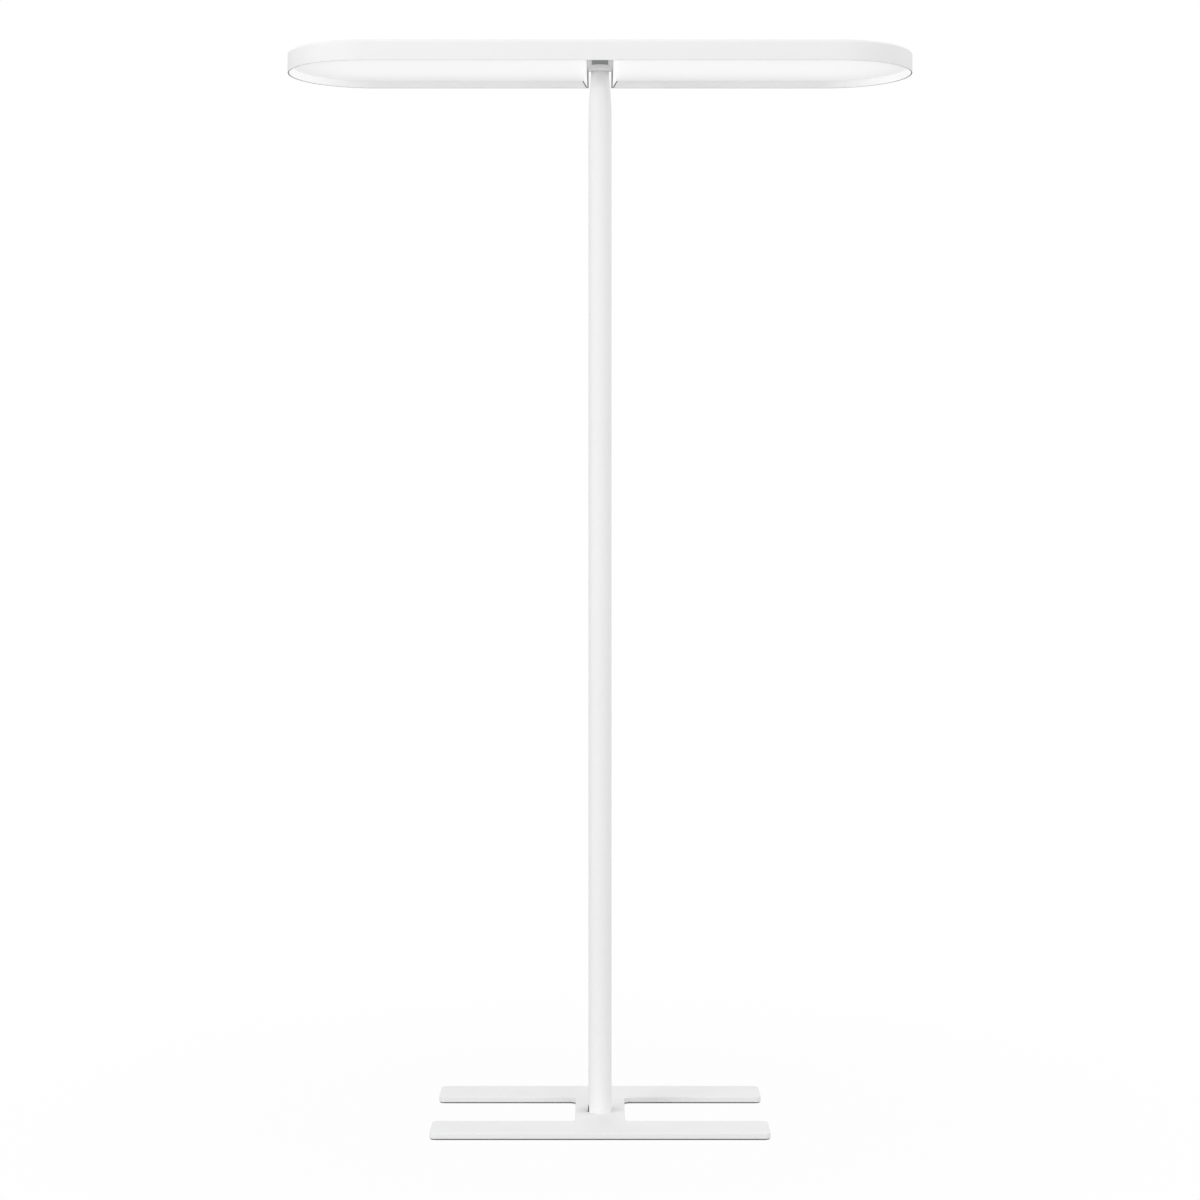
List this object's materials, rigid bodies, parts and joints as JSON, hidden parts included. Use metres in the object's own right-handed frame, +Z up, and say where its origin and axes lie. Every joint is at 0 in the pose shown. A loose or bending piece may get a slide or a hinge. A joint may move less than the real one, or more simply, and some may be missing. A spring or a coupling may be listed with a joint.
{
  "type": "office floor lamp",
  "caption": "Standing office lamp with a slim stadium-shaped head lit upwards and downwards, a round column with a tapered neck, and a flat H-shaped floor plate.",
  "frame": {"origin": "on the floor, under the middle of the floor plate", "axes": "+Z up along the column, +X along the head, +Y towards the side on which the head's slot opens"},
  "size_m": [1.14, 0.36, 1.9395],
  "materials": {
    "white_powder_coat": "fine matt powder coat",
    "opal_diffuser": "satin opal acrylic",
    "clear_cover": "clear acrylic",
    "smoked_window": "smoked acrylic",
    "black_rubber": "matt",
    "grey_felt": "pressed felt",
    "zinc_steel": "zinc plated",
    "raw_steel": "turned",
    "cast_aluminium": "as cast and blasted",
    "white_tray": "aluminium sheet with gloss white reflector paint",
    "white_head_coat": "die-cast aluminium with the same fine matt white powder coat as the steel parts",
    "circuit_board": "solder mask",
    "white_plastic": "fine texture",
    "grey_button": "fine texture",
    "lead_jacket": "satin PVC"
  },
  "bodies": {
    "lamp": {"base_plate": "white_powder_coat", "base_pads": "grey_felt", "base_screws": "zinc_steel", "foot_plug": "raw_steel", "column_tube": "white_powder_coat", "cable_grommet": "black_rubber", "mains_lead": "lead_jacket", "button_housing": "white_plastic", "button_switch": "white_plastic", "button_lead": "lead_jacket", "head_frame": "white_head_coat", "column_socket": "cast_aluminium", "grub_screws": "zinc_steel", "socket_screws": "zinc_steel", "top_cover": "white_head_coat", "cover_screws": "zinc_steel", "diffuser_left": "opal_diffuser", "reflector_tray_left": "white_tray", "downlight_strips_left": "circuit_board", "uplight_strips_left": "circuit_board", "uplight_cover_left": "clear_cover", "diffuser_right": "opal_diffuser", "reflector_tray_right": "white_tray", "downlight_strips_right": "circuit_board", "uplight_strips_right": "circuit_board", "uplight_cover_right": "clear_cover", "driver_left": "white_plastic", "driver_right": "white_plastic", "driver_leads": "lead_jacket", "control_board": "circuit_board", "terminal_block": "white_plastic", "sensor_window": "smoked_window", "sensor_module": "white_plastic"},
    "button": {"button_cap": "grey_button"}
  },
  "joints": [
    {"name": "button_press", "type": "slide", "parent": "lamp", "child": "button", "axis": [0, -1, 0], "range_m": [0, 0.001], "stiffness_N_per_m": 600}
  ]
}
